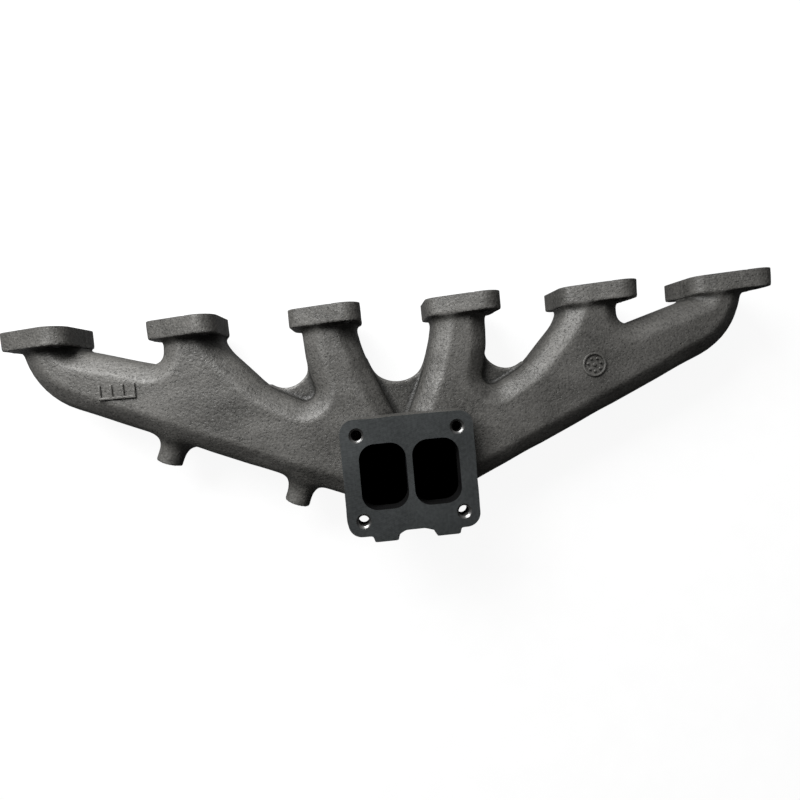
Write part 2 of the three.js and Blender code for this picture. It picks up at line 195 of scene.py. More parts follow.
def shoulder(part):
    """The sloping flank that runs along both faces of every tube, starting at a soft ridge."""
    _, _, z = places(part)
    across = tree_distance[part[0], part[1]][:, :, None] + TUBE_EDGE
    down = np.abs(z - parting_z) - tube_half + TUBE_EDGE
    return across * math.sin(FLANK_SLOPE) + down * math.cos(FLANK_SLOPE) - FLANK_REACH * TUBE_EDGE


# ==== Head flanges on the pattern ====
# Six slanted plates, cast on the ends of the runners with a small fillet behind them.
# Each is cast 3 mm too thick, and the extra is milled away later.

MACHINING_ALLOWANCE = 0.003
PLATE_CORNER = 0.014
PLATE_EDGE = 0.0018
PLATE_FILLET = 0.007
PLATE_SLANT = math.radians(23.3)
STUD_X, STUD_Z = 0.018, 0.026


def plate_outline(number):
    """A head flange seen along Y, as x and z."""
    half = (port_boxes[number][1].x - port_boxes[number][0].x) / 2
    slope = math.tan(PLATE_SLANT)
    high = STUD_Z + PLATE_CORNER / math.cos(PLATE_SLANT) + (half - STUD_X) * slope
    low = high - 2 * half * slope
    corners = [(-half, -high), (half, -low), (half, high), (-half, low)]
    centre = np.array([port_x[number], parting_z])
    return rounded([(x, z, PLATE_CORNER) for x, z in corners]) + centre


plate_outlines = [plate_outline(number) for number in range(6)]


def head_plate(part, number):
    x, y, z = places(part)
    flat = distance_to(plate_outlines[number], x[:, 0, :], z[0])[:, None, :]
    middle = (plate_y + head_y + MACHINING_ALLOWANCE) / 2
    return slab(flat, np.abs(y - middle) - (head_y + MACHINING_ALLOWANCE - plate_y) / 2, PLATE_EDGE)


# ==== Turbo flange, its neck and gate stubs on the pattern ====
# The square flange stands on a short neck over the two logs. Its sides have draft, so that it
# draws from the sand. Two stubs of the pouring gates are left on its lower edge, with a hollow
# between them.

DRAFT = math.tan(math.radians(4))
FLANGE_CORNER = 12
STUB_DROP, STUB_SLOPE, STUB_CORNER = 5, 1.5, 0.8
NOTCH_RISE, NOTCH_CORNER, NOTCH_RUN = 2.6, 5, 8
FLANGE_EDGE = 0.0012
NECK_FILLET = 0.0025
NECK_STEP = 0.0008
NECK_HUG, NECK_OVERLAP = 47, 0.006
UNDERCUT_FILLET = 0.0015

turbo_low, turbo_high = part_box("turbo_flange")
flange_under = turbo_low.z
stub_boxes = [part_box("gate_stub_left"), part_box("gate_stub_right")]


def flange_outline():
    """The turbo flange with its stubs, anticlockwise from the lower left corner."""
    half_x, half_y = turbo_high.x * 1000, turbo_high.y * 1000
    (left_out, left_in), (right_in, right_out) = [
        (low.x * 1000, high.x * 1000) for low, high in stub_boxes
    ]
    tip, notch = -half_y - STUB_DROP, -half_y + NOTCH_RISE
    corners = [(-half_x, -half_y, FLANGE_CORNER)]
    corners += [(left_out, -half_y, STUB_CORNER), (left_out + STUB_SLOPE, tip, STUB_CORNER)]
    corners += [(left_in - STUB_SLOPE, tip, STUB_CORNER), (left_in, -half_y, STUB_CORNER)]
    corners += [(left_in + NOTCH_CORNER, notch, NOTCH_CORNER)]
    corners += [(right_in - NOTCH_RUN, notch, NOTCH_CORNER)]
    corners += [(right_in, -half_y, STUB_CORNER), (right_in + STUB_SLOPE, tip, STUB_CORNER)]
    corners += [(right_out - STUB_SLOPE, tip, STUB_CORNER), (right_out, -half_y, STUB_CORNER)]
    corners += [(half_x, -half_y, FLANGE_CORNER), (half_x, half_y, FLANGE_CORNER)]
    corners += [(-half_x, half_y, FLANGE_CORNER)]
    return rounded(corners) / 1000


def neck_outline():
    """The neck in plan: it hugs the ports at the bottom and spreads under the upper stud holes."""
    shoulder = neck_high.x * 1000
    bottom, top = neck_low.y * 1000, neck_high.y * 1000
    right = [(NECK_HUG, bottom, 18), (NECK_HUG, 12, 6), (shoulder, 22, 6), (shoulder, top, 10)]
    left = [(-x, y, radius) for x, y, radius in reversed(right)]
    return rounded(right + left) / 1000


flange_plan, neck_plan = flange_outline(), neck_outline()


def turbo_tower(part):
    x, y, z = places(part)
    spread = -np.minimum(z, 0) * DRAFT
    plate = distance_to(flange_plan, x[:, :, 0], y[0, :, 0][None, :])[:, :, None] - spread
    plate = np.maximum(plate, turbo_low.y - STUB_DROP / 1000 - y)
    middle = (flange_under + MACHINING_ALLOWANCE) / 2
    half_depth = (MACHINING_ALLOWANCE - flange_under) / 2
    plate = slab(plate, np.abs(z - middle) - half_depth, FLANGE_EDGE)
    neck = distance_to(neck_plan, x[:, :, 0], y[0, :, 0][None, :])[:, :, None] + NECK_STEP
    neck = np.maximum(neck, np.maximum(neck_low.z - NECK_OVERLAP - z, z + NECK_OVERLAP))
    return join(plate, neck, UNDERCUT_FILLET)


# ==== Webs on the pattern ====
# Thin plates on the parting line tie neighbouring runners together, so that the casting doesn't
# warp. Their free edges are scooped, and they run into the tubes with small fillets.

WEB_HALF = 0.003
WEB_EDGE = 0.0012
WEB_TIP_DROP = 0.014
WEB_FILLET = 0.0045


def web_outline(centre, radius, start, end, half, foot, mirror):
    """A web in plan: a scooped upper edge, from one share of a half turn to another, and a box."""
    angles = np.linspace(start * math.pi, end * math.pi, 22)
    arc = [(centre[0] + radius * math.cos(a), centre[1] + radius * math.sin(a)) for a in angles]
    box = [(centre[0] + half, centre[1]), (centre[0] + half, foot), (centre[0] - half, foot)]
    outline = arc + box + [(centre[0] - half, arc[0][1] - WEB_TIP_DROP)]
    return np.array([(mirror * x, y) for x, y in outline])


side_centre = ((port_x[1] + port_x[2]) / 2 + 0.020, head_y - 0.043)
web_plans = {
    "web_2_3": web_outline(side_centre, 0.0225, 1.31, 2, 0.034, head_y - 0.090, 1),
    "web_3_4": web_outline((0, head_y - 0.041), 0.028, 1.08, 1.92, 0.032, neck_high.y - 0.004, 1),
    "web_4_5": web_outline(side_centre, 0.0225, 1.31, 2, 0.034, head_y - 0.090, -1),
}


def web(part, plan):
    x, y, z = places(part)
    flat = distance_to(plan, x[:, :, 0], y[0, :, 0][None, :])[:, :, None]
    return slab(flat, np.abs(z - parting_z) - WEB_HALF, WEB_EDGE)


# ==== Riser bosses on the pattern ====
# Two round risers fed the front log while it froze. They are sawn off about 22 mm from the log
# and their ends are ground, and their roots have the widest fillets on the casting.

RISER_RADIUS = 0.0115
RISER_REACH = 0.022
RISER_FILLET = 0.014
RISER_EDGE = 0.0013
RISER_ROOT = 0.02


def riser_place(name):
    """The foot and direction of a riser, square to the log's lower edge."""
    low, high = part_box(name)
    inner = Vector((-0.052, collector_low.y + 0.012))
    outer = Vector((port_x[0] - 0.0165, head_y - 0.052))
    along = (outer - inner).normalized()
    outward = Vector((-along.y, along.x))
    tip_reach = RISER_REACH * -outward.y + RISER_RADIUS * abs(along.y)
    foot_y = low.y + tip_reach
    foot_x = inner.x + (foot_y - inner.y) / along.y * along.x
    return Vector((foot_x, foot_y)), outward


def riser(part, name):
    x, y, z = places(part)
    foot, outward = riser_place(name)
    along = (x - foot.x) * outward.x + (y - foot.y) * outward.y
    across = (x - foot.x) * outward.y - (y - foot.y) * outward.x
    body = slab(np.hypot(across, z - parting_z) - RISER_RADIUS, along - RISER_REACH, RISER_EDGE)
    return np.maximum(body, -RISER_ROOT - along)


# ==== The core: gas passages ====
# A baked sand core leaves the passages. It fills three runners and one log on each side of the
# divider, and turns up through the neck to one of the two ports in the turbo flange.

DIVIDER_HALF = 0.0025
PORT_FAR, PORT_REACH, PORT_CORNER = 0.041, 0.027, 0.013
DIVIDER_FILLET, THROAT_FILLET = 0.004, 0.006


def turbo_port(x, y):
    """Distance in plan to the nearer of the two turbo ports."""
    half_x = (PORT_FAR - DIVIDER_HALF) / 2
    across = np.abs(np.abs(x) - DIVIDER_HALF - half_x) - half_x + PORT_CORNER
    down = np.abs(y) - PORT_REACH + PORT_CORNER
    corner = np.hypot(np.maximum(across, 0), np.maximum(down, 0))
    return np.minimum(np.maximum(across, down), 0) + corner - PORT_CORNER


def gas_core(part):
    x, y, z = places(part)
    inner = tubes(part, TUBE_WALL, TUBE_EDGE - TUBE_WALL)
    inner = -join(-inner, np.abs(x) - DIVIDER_HALF + 0 * y + 0 * z, DIVIDER_FILLET)
    throat = np.maximum(turbo_port(x, y), parting_z - z)
    return join(inner, throat, THROAT_FILLET)


# ==== Pouring the casting ====
# Iron fills what the pattern left and the core kept out. The skin is a little uneven where sand
# moved, and a thin flash stands along the parting line where the two halves of the mould met.

FLASH, FLASH_WIDTH = 0.00035, 0.0011
SAND_BIAS = 0.0001
MOUTH_EDGE = 0.001
NEAR, REACH = 0.01, 0.04
waves = np.random.default_rng(11)
swells = []
for _ in range(7):
    heading, length = waves.normal(size=3), waves.uniform(0.022, 0.060)
    phase, height = waves.uniform(0, math.tau), waves.uniform(0.00006, 0.00015)
    swells.append((heading, length, phase, height))


def sand_movement(part):
    """Slow hollows of a few tenths of a millimetre over the whole skin."""
    x, y, z = places(part)
    total = 0
    for direction, length, phase, height in swells:
        kx, ky, kz = direction / np.linalg.norm(direction) * math.tau / length
        wave = np.exp(1j * kx * x) * (np.exp(1j * (ky * y + phase)) * np.exp(1j * kz * z))
        total = total + height * wave.real
    return np.maximum(total + SAND_BIAS, 0)


def casting(part):
    x, y, z = places(part)
    shape = -join(-tubes(part, 0, TUBE_EDGE), -shoulder(part), RIDGE)
    left, right = x.min(), x.max()
    for number in range(6):
        if left - REACH < port_x[number] < right + REACH and y.max() > plate_y - NEAR:
            shape = join(shape, head_plate(part, number), PLATE_FILLET)
    beside = left < turbo_high.x + NEAR and right > turbo_low.x - NEAR
    if beside and y.min() < neck_high.y + NEAR:
        shape = join(shape, turbo_tower(part), NECK_FILLET)
    for plan in web_plans.values():
        if plan[:, 0].min() < right and plan[:, 0].max() > left:
            shape = join(shape, web(part, plan), WEB_FILLET)
    for name in ("boss_outer", "boss_inner"):
        foot, _ = riser_place(name)
        if left - REACH < foot.x < right + REACH:
            shape = join(shape, riser(part, name), RISER_FILLET)
    flash = FLASH * (1 - np.exp(-(((z - parting_z) / FLASH_WIDTH) ** 2)))
    return -join(-(shape + sand_movement(part) + flash), gas_core(part), MOUTH_EDGE)


# ==== Cast iron: skin, passages painted near-black as shade, milled faces and cut threads ====
# The skin is dark, warm grey iron with the sand's orange-peel grain, blasted and lightly oiled.
# Milled faces are smoother and bluer, with faint cutter arcs, and chamfers and threads are bright.

SKIN_DARK, SKIN_LIGHT = (0.024, 0.0235, 0.0215, 1), (0.135, 0.131, 0.122, 1)
# The first colour is edge wear; the second, near-black, is painted shade in pits and concave
# corners.
RUB_COLOUR, PAINTED_SHADE_COLOUR = (0.22, 0.215, 0.205, 1), (0.012, 0.012, 0.011, 1)
MILLED_DARK, MILLED_LIGHT = (0.038, 0.041, 0.042, 1), (0.090, 0.097, 0.099, 1)
# Near-black inside the gas passages: painted shade where the ports run deep.
PASSAGE_SHADE_DARK, PASSAGE_SHADE_LIGHT = (0.0025, 0.0025, 0.0028, 1), (0.0070, 0.0070, 0.0072, 1)
MILLED_SCRATCH = (0.15, 0.165, 0.168, 1)
CUT_DARK, CUT_LIGHT = (0.08, 0.08, 0.08, 1), (0.25, 0.25, 0.245, 1)


def new_group(name, inputs, outputs):
    """A node group with named sockets; returns the group and its input and output nodes."""
    group = bpy.data.node_groups.new(name, "ShaderNodeTree")
    for label, kind, value in inputs:
        socket = group.interface.new_socket(label, in_out="INPUT", socket_type=kind)
        if value is not None:
            socket.default_value = value
    for label, kind in outputs:
        group.interface.new_socket(label, in_out="OUTPUT", socket_type=kind)
    return group, group.nodes.new("NodeGroupInput"), group.nodes.new("NodeGroupOutput")


def node(tree, kind, settings=None, **feeds):
    """Adds a node, sets its properties and feeds its inputs from sockets or values."""
    made = tree.nodes.new(kind)
    for label, value in (settings or {}).items():
        setattr(made, label, value)
    for label, value in feeds.items():
        name = int(label[1:]) if label[1:].isdigit() else label.replace("_", " ")
        spot = made.inputs[name]
        if isinstance(value, bpy.types.NodeSocket):
            tree.links.new(value, spot)
        else:
            spot.default_value = value
    return made


def noise(tree, where, scale, detail=3.0, roughness=0.55):
    feeds = {"Vector": where, "Scale": scale, "Detail": detail, "Roughness": roughness}
    return node(tree, "ShaderNodeTexNoise", **feeds).outputs["Fac"]


def blend_colours(tree, amount, first, second):
    made = node(tree, "ShaderNodeMix", {"data_type": "RGBA"}, i0=amount, i6=first, i7=second)
    return made.outputs[2]


def remap(tree, value, low, high, to_low=0.0, to_high=1.0):
    made = node(tree, "ShaderNodeMapRange", Value=value, i1=low, i2=high, i3=to_low, i4=to_high)
    return made.outputs[0]


def maths(tree, operation, one, other):
    return node(tree, "ShaderNodeMath", {"operation": operation}, i0=one, i1=other).outputs[0]


def times(tree, one, other):
    return maths(tree, "MULTIPLY", one, other)


def sand_grain_group():
    """Orange-peel grain left by the sand, with odd pits; Height is in metres."""
    inputs = [
        ("Vector", "NodeSocketVector", None),
        ("Grain", "NodeSocketFloat", 620.0), ("Depth", "NodeSocketFloat", 0.00012),
    ]
    outputs = [("Height", "NodeSocketFloat"), ("Pits", "NodeSocketFloat")]
    tree, given, out = new_group("sand_grain", inputs, outputs)
    where, grain = given.outputs["Vector"], given.outputs["Grain"]
    fine = noise(tree, where, grain, 2.5, 0.6)
    coarse = noise(tree, where, times(tree, grain, 0.37), 2.0)
    kind, smooth = "ShaderNodeTexVoronoi", {"feature": "SMOOTH_F1"}
    cells = node(tree, kind, smooth, Vector=where, Scale=times(tree, grain, 0.55))
    peel = remap(tree, cells.outputs["Distance"], 0.1, 0.75)
    deep = noise(tree, where, times(tree, grain, 0.8), 1.0)
    pits = remap(tree, deep, 0.30, 0.40, 1.0, 0.0)
    total = maths(tree, "ADD", times(tree, fine, 0.55), times(tree, coarse, 0.5))
    total = maths(tree, "SUBTRACT", total, times(tree, peel, 0.35))
    total = maths(tree, "SUBTRACT", total, times(tree, pits, 0.4))
    tree.links.new(times(tree, total, given.outputs["Depth"]), out.inputs["Height"])
    tree.links.new(pits, out.inputs["Pits"])
    return tree


def mottle_group():
    """Slow patches where oil and blasting changed the surface; gives a colour and a roughness."""
    inputs = [
        ("Vector", "NodeSocketVector", None),
        ("Dark", "NodeSocketColor", None), ("Light", "NodeSocketColor", None),
        ("Patch", "NodeSocketFloat", 26.0),
        ("Smooth", "NodeSocketFloat", 0.4), ("Rough", "NodeSocketFloat", 0.6),
    ]
    outputs = [("Colour", "NodeSocketColor"), ("Roughness", "NodeSocketFloat")]
    tree, given, out = new_group("iron_mottle", inputs, outputs)
    where, patch = given.outputs["Vector"], given.outputs["Patch"]
    slow = remap(tree, noise(tree, where, patch, 4.0, 0.6), 0.30, 0.70)
    quick = noise(tree, where, times(tree, patch, 22.0), 3.0, 0.65)
    speckle = remap(tree, quick, 0.36, 0.66)
    both = maths(tree, "ADD", times(tree, slow, 0.5), times(tree, speckle, 0.5))
    colour = blend_colours(tree, both, given.outputs["Dark"], given.outputs["Light"])
    rough = remap(tree, slow, 0.0, 1.0, given.outputs["Smooth"], given.outputs["Rough"])
    tree.links.new(colour, out.inputs["Colour"])
    tree.links.new(rough, out.inputs["Roughness"])
    return tree


sand_grain, iron_mottle = sand_grain_group(), mottle_group()


def place_group(tree, group, **feeds):
    made = tree.nodes.new("ShaderNodeGroup")
    made.node_tree = group
    for label, value in feeds.items():
        if isinstance(value, bpy.types.NodeSocket):
            tree.links.new(value, made.inputs[label])
        else:
            made.inputs[label].default_value = value
    return made.outputs


def new_finish(name, metallic):
    """Returns a material, its node tree, its shader and its object coordinates."""
    material = bpy.data.materials.new(name)
    material.use_nodes = True
    tree = material.node_tree
    shader = tree.nodes["Principled BSDF"]
    shader.inputs["Metallic"].default_value = metallic
    where = tree.nodes.new("ShaderNodeTexCoord").outputs["Object"]
    return material, tree, shader, where


def raise_bumps(tree, shader, height, strength=1.0):
    bump = node(tree, "ShaderNodeBump", Height=height, Strength=strength, Distance=1.0)
    tree.links.new(bump.outputs["Normal"], shader.inputs["Normal"])


def mottled(tree, shader, where, dark, light, patch, smooth, rough):
    """Places the mottle, and links its colour and roughness to the shader; returns its outputs."""
    feeds = {"Vector": where, "Dark": dark, "Light": light, "Patch": patch}
    outputs = place_group(tree, iron_mottle, Smooth=smooth, Rough=rough, **feeds)
    tree.links.new(outputs["Colour"], shader.inputs["Base Color"])
    tree.links.new(outputs["Roughness"], shader.inputs["Roughness"])
    return outputs


def cast_skin():
    material, tree, shader, where = new_finish("cast_skin", 0.12)
    mottle = mottled(tree, shader, where, SKIN_DARK, SKIN_LIGHT, 24.0, 0.42, 0.58)
    grain = place_group(tree, sand_grain, Vector=where, Grain=780.0, Depth=0.00042)
    rub = node(tree, "ShaderNodeAttribute", {"attribute_name": "rub"}).outputs["Fac"]
    hollow_shade = node(tree, "ShaderNodeAttribute", {"attribute_name": "hollow_shade"}).outputs["Fac"]
    ragged = remap(tree, noise(tree, where, 260.0, 4.0, 0.7), 0.38, 0.62)
    rubbed = times(tree, rub, ragged)
    pit_shade = times(tree, grain["Pits"], 0.55)
    # Painted shade: pits and concave corners are darkened in the colour.
    colour = blend_colours(tree, pit_shade, mottle["Colour"], PAINTED_SHADE_COLOUR)
    colour = blend_colours(tree, times(tree, hollow_shade, 0.75), colour, PAINTED_SHADE_COLOUR)
    colour = blend_colours(tree, times(tree, rubbed, 0.7), colour, RUB_COLOUR)
    tree.links.new(colour, shader.inputs["Base Color"])
    rough = maths(tree, "SUBTRACT", mottle["Roughness"], times(tree, rubbed, 0.12))
    tree.links.new(rough, shader.inputs["Roughness"])
    raise_bumps(tree, shader, grain["Height"])
    return material


def passage_shade_core():
    # The passages are painted near-black: painted shade where the ports run deep.
    material, tree, shader, where = new_finish("core_skin", 0.0)
    mottled(tree, shader, where, PASSAGE_SHADE_DARK, PASSAGE_SHADE_LIGHT, 40.0, 0.7, 0.9)
    grain = place_group(tree, sand_grain, Vector=where, Grain=520.0, Depth=0.00035)
    shader.inputs["Specular IOR Level"].default_value = 0.06
    raise_bumps(tree, shader, grain["Height"])
    return material


def milled_face():
    material, tree, shader, where = new_finish("milled_face", 0.6)
    mottle = mottled(tree, shader, where, MILLED_DARK, MILLED_LIGHT, 17.0, 0.36, 0.50)
    mapping = node(tree, "ShaderNodeMapping", Vector=where, Location=(0.09, 0.16, 0.0))
    feeds = {"Vector": mapping.outputs[0], "Scale": 230.0, "Distortion": 1.2, "Detail": 2.0}
    arcs = {"wave_type": "RINGS", "rings_direction": "SPHERICAL"}
    rings = node(tree, "ShaderNodeTexWave", arcs, i4=1.5, **feeds)
    lay, stretch = (0.0, 0.0, math.radians(38)), (900.0, 28.0, 60.0)
    streaks = node(tree, "ShaderNodeMapping", Vector=where, Rotation=lay, Scale=stretch)
    scratches = remap(tree, noise(tree, streaks.outputs[0], 1.0, 3.0, 0.6), 0.56, 0.72)
    cutter = times(tree, rings.outputs["Fac"], 0.25)
    marked = maths(tree, "ADD", cutter, times(tree, scratches, 0.5))
    share = times(tree, marked, 0.45)
    colour = blend_colours(tree, share, mottle["Colour"], MILLED_SCRATCH)
    tree.links.new(colour, shader.inputs["Base Color"])
    rough = maths(tree, "SUBTRACT", mottle["Roughness"], times(tree, scratches, 0.10))
    tree.links.new(rough, shader.inputs["Roughness"])
    raise_bumps(tree, shader, times(tree, marked, 0.000012))
    return material


def cut_thread():
    material, tree, shader, where = new_finish("cut_thread", 0.9)
    mottled(tree, shader, where, CUT_DARK, CUT_LIGHT, 120.0, 0.22, 0.40)
    chatter = noise(tree, where, 1800.0, 2.0)
    raise_bumps(tree, shader, times(tree, chatter, 0.00002))
    return material


finishes = [cast_skin(), passage_shade_core(), milled_face(), cut_thread()]
SKIN, CORE, MILLED, CUT = range(4)

# ==== Milling cutters, drills and dividing planes ====
# Faces are milled and holes drilled once the casting has cooled. Each tool here is a solid that
# bounds or is taken from the casting, and the same kind of solid divides it into named regions.

HEAD_HOLE, HEAD_CHAMFER, HEAD_DRILL = 0.0055, 0.0006, 0.03
TURBO_HOLE = 0.0050
TURBO_CHAMFER = 0.0012
THREAD_PITCH = 0.0015
THREAD_DEPTH = 0.00055
EDGE_BREAK, MILL_ROOM, MILL_END = 0.0007, 0.003, 0.08
TAP_X, TAP_Y = 0.04125, 0.03495
BLIND_TAP, THROUGH_TAP = 0.0255, 0.03
POINT_DEPTH, POINT_RADIUS = 0.0025, 0.0004
SQUARE = 0.0043
CLEAR = 0.01
MILL_LOW, MILL_HIGH = (-0.0603, -0.0587, -0.1), (0.061, 0.0552, 0)
tool_box = bpy.data.collections.new("tools")


def score(tool, axes):
    """Splits a cutter's faces into small squares, so that no milled face has a hole inside it."""
    scored = bmesh.new()
    scored.from_mesh(tool.data)
    for axis in axes:
        spread = [corner.co[axis] for corner in scored.verts]
        for level in np.arange(min(spread) + SQUARE, max(spread), SQUARE):
            spot, normal = [0, 0, 0], [0, 0, 0]
            spot[axis], normal[axis] = level, 1
            whole = scored.verts[:] + scored.edges[:] + scored.faces[:]
            bmesh.ops.bisect_plane(scored, geom=whole, plane_co=spot, plane_no=normal)
    scored.to_mesh(tool.data)
    scored.free()
    return tool


def solid(name, points, faces, finish):
    mesh = bpy.data.meshes.new(name)
    mesh.from_pydata([tuple(point) for point in points], [], faces)
    mesh.materials.append(finishes[finish])
    made = bpy.data.objects.new(name, mesh)
    tool_box.objects.link(made)
    return made


def stacked(name, rings, finish):
    """A solid through rings of points, all with one count, with its ends closed."""
    count = len(rings[0])
    points = [point for ring in rings for point in ring]
    faces = [list(range(count))[::-1], list(range(len(points) - count, len(points)))]
    for level in range(len(rings) - 1):
        for step in range(count):
            ahead = (step + 1) % count
            low, high = level * count, (level + 1) * count
            faces.append([low + step, low + ahead, high + ahead, high + step])
    return solid(name, points, faces, finish)


def offset(outline, distance):
    """An anticlockwise outline moved outwards by a distance."""
    back, ahead = np.roll(outline, 1, 0), np.roll(outline, -1, 0)
    normals = []
    for edge in (outline - back, ahead - outline):
        length = np.maximum(np.linalg.norm(edge, axis=1), 1e-9)[:, None]
        normals.append(np.stack([edge[:, 1], -edge[:, 0]], 1) / length)
    middle = normals[0] + normals[1]
    middle /= np.linalg.norm(middle, axis=1)[:, None]
    return outline + middle * distance / np.maximum((middle * normals[0]).sum(1), 0.5)[:, None]


def anticlockwise(outline):
    x, y = outline[:, 0], outline[:, 1]
    area = (x * np.roll(y, -1) - np.roll(x, -1) * y).sum()
    return outline if area > 0 else outline[::-1]


def plan_prism(name, outline, low, high, finish=SKIN):
    """An outline in plan, given height."""
    outline = anticlockwise(np.array(outline))
    return stacked(name, [[(x, y, z) for x, y in outline] for z in (low, high)], finish)


def brick(name, low, high, finish=SKIN):
    outline = [(low[0], low[1]), (high[0], low[1]), (high[0], high[1]), (low[0], high[1])]
    return plan_prism(name, outline, low[2], high[2], finish)


def turned(name, centre, axis, profile, finish, sides=56):
    """A turned tool: profile is (distance along the axis, radius)."""
    turn = Vector((0, 0, 1)).rotation_difference(Vector(axis)).to_matrix()
    rings = []
    for along, radius in profile:
        angles = [math.tau * step / sides for step in range(sides)]
        ring = [Vector((radius * math.cos(a), radius * math.sin(a), along)) for a in angles]
        rings.append([tuple(turn @ point + Vector(centre)) for point in ring])
    return stacked(name, rings, finish)


def tap(centre, depth):
    """A tapping tool: chamfer at the face, then thread down to its depth."""
    profile = [(-depth - POINT_DEPTH, POINT_RADIUS), (-depth, TURBO_HOLE - THREAD_DEPTH)]
    for step in range(int(depth / THREAD_PITCH * 2)):
        radius = TURBO_HOLE - THREAD_DEPTH * (step % 2)
        profile.append((-depth + (step + 1) * THREAD_PITCH / 2, radius))
    profile = [row for row in profile if row[0] < -TURBO_CHAMFER]
    mouth = TURBO_HOLE + TURBO_CHAMFER
    profile += [(-TURBO_CHAMFER, TURBO_HOLE), (0, mouth), (CLEAR, mouth)]
    return turned("tap", centre, (0, 0, 1), profile, CUT)


turbo_mill = score(brick("turbo_mill", MILL_LOW, MILL_HIGH, MILLED), (0, 1))


def head_mill(number):
    """What the cutter leaves of one head plate, with its rim broken."""
    outline = anticlockwise(plate_outlines[number])
    below = head_y - EDGE_BREAK - MILL_ROOM
    levels = [(head_y, -EDGE_BREAK), (below, MILL_ROOM), (MILL_END, MILL_ROOM)]
    rings = [[(x, y, z) for x, z in offset(outline, grow)] for y, grow in levels]
    return score(stacked(f"head_mill_{number}", rings, MILLED), (0, 2))


head_mills = [head_mill(number) for number in range(6)]
head_drills = []
for number in range(6):
    for side in (-1, 1):
        centre = (port_x[number] + side * STUD_X, head_y, parting_z + side * STUD_Z)
        mouth = HEAD_HOLE + HEAD_CHAMFER
        profile = [(-HEAD_DRILL, HEAD_HOLE), (-HEAD_CHAMFER, HEAD_HOLE)]
        profile += [(0, mouth), (CLEAR, mouth)]
        head_drills.append(turned("head_drill", centre, (0, 1, 0), profile, CUT))
turbo_taps = [
    tap((x, y, 0), BLIND_TAP if y > 0 else THROUGH_TAP)
    for x in (-TAP_X, TAP_X) for y in (-TAP_Y, TAP_Y)
]

# ==== The casting's named regions ====
# The real casting is one piece. Here it is parted on planes into flanges, runners, logs and so on,
# which meet without a gap, so that the joints don't show.

FAR = 0.5
JOINT = 0.00015
SLICE = 0.00265
COLLECTOR_END = 0.0631
TREE_MARGIN, NECK_MARGIN = 0.0016, 0.0045


def runner_region(number):
    """Plan outline of all that lies on the head side of a runner's end, from part lines in mm."""
    side = -1 if number < 3 else 1
    order = number if number < 3 else 5 - number
    end, second, third = [x * 1000 for x in port_x[:3]]
    head, neck = head_y * 1000, neck_high.y * 1000
    cuts = [
        [(end - 90, head - 190), (end + 30, head - 105), (second - 50, head - 18)],
        [(second - 38, head - 33), (second + 85, head - 82)],
        [(third - 24, head - 81), (-2.65, neck + 1)],
    ]
    cut = cuts[order]
    outline = cut + [(cut[-1][0], head + 40), (cut[0][0], head + 40)]
    return [(-side * x / 1000, y / 1000) for x, y in outline]


regions = [plan_prism(f"region_{number}", runner_region(number), -FAR, FAR) for number in range(6)]
plate_side = brick("plate_side", (-FAR, plate_y - JOINT, -FAR), (FAR, FAR, FAR))
tree_side = plan_prism("tree_side", offset(anticlockwise(tree), TREE_MARGIN), -FAR, FAR)
neck_reach = offset(anticlockwise(neck_plan), NECK_MARGIN)
neck_shadow = plan_prism("neck_shadow", neck_reach, neck_low.z - JOINT, FAR)
flange_side = brick("flange_side", (-FAR, -FAR, flange_under - JOINT), (FAR, FAR, FAR))
stub_side = brick("stub_side", (-FAR, -FAR, -FAR), (FAR, turbo_low.y - JOINT, FAR))
collector_side = brick("collector_side", (-COLLECTOR_END, -FAR, -FAR), (COLLECTOR_END, FAR, FAR))
divider_slice = brick("divider_slice", (-SLICE, -FAR, -FAR), (SLICE, FAR, FAR))
half_sides = {
    -1: brick("front_half", (-FAR, -FAR, -FAR), (-SLICE, FAR, FAR)),
    1: brick("rear_half", (SLICE, -FAR, -FAR), (FAR, FAR, FAR)),
}

CORE_REACH = 0.0012
# Curvatures at which edge wear and the painted shade in concave corners reach full strength.
RUB_BEND, HOLLOW_SHADE_BEND = 500, 190
SHARP = math.radians(32)
ON_SKIN = 0.35 * GRID
AGREEMENT = 0.7


def shape_mesh(name, field, low, spacing):
    """Turns a field, from its lowest corner and grid spacing, into a closed mesh."""
    grid = openvdb.FloatGrid()
    grid.background = 1.0
    padded = np.full([n + 2 for n in field.shape], 1.0, np.float32)
    padded[1:-1, 1:-1, 1:-1] = field / spacing
    grid.copyFromArray(padded, tolerance=0)
    points, quads = grid.convertToQuads(0.0)
    points = (points - 1) * spacing + low
    mesh = bpy.data.meshes.new(name)
    mesh.vertices.add(len(points))
    mesh.vertices.foreach_set("co", points.astype(np.float32).ravel())
    mesh.loops.add(len(quads) * 4)
    mesh.loops.foreach_set("vertex_index", quads[:, ::-1].astype(np.int32).ravel())
    mesh.polygons.add(len(quads))
    mesh.polygons.foreach_set("loop_start", np.arange(0, len(quads) * 4, 4, dtype=np.int32))
    mesh.update(calc_edges=True)
    mesh.validate()
    return mesh


def sample(field, part, points):
    """Reads a field between its grid points."""
    first = grid_low + GRID * np.array([s.start for s in part])
    spot = np.clip((points - first) / GRID, 0, np.array(field.shape) - 1.001)
    base = spot.astype(int)
    share = spot - base
    total = 0
    for corner in np.ndindex(2, 2, 2):
        weight = np.prod(np.where(corner, share, 1 - share), axis=1)
        total = total + weight * field[tuple((base + corner).T)]
    return total


def cut_mesh(made, inside, outside):
    """Keeps what is inside the first solids and outside the second, with their finishes."""
    for operation, tools in (("INTERSECT", inside), ("DIFFERENCE", outside)):
        for tool in tools:
            step = made.modifiers.new(tool.name, "BOOLEAN")
            step.operation, step.object = operation, tool
            step.solver, step.material_mode = "MANIFOLD", "TRANSFER"
    bpy.context.view_layer.update()
    shaped = made.evaluated_get(bpy.context.evaluated_depsgraph_get())
    mesh = bpy.data.meshes.new_from_object(shaped)
    made.modifiers.clear()
    made.data = mesh
    return mesh


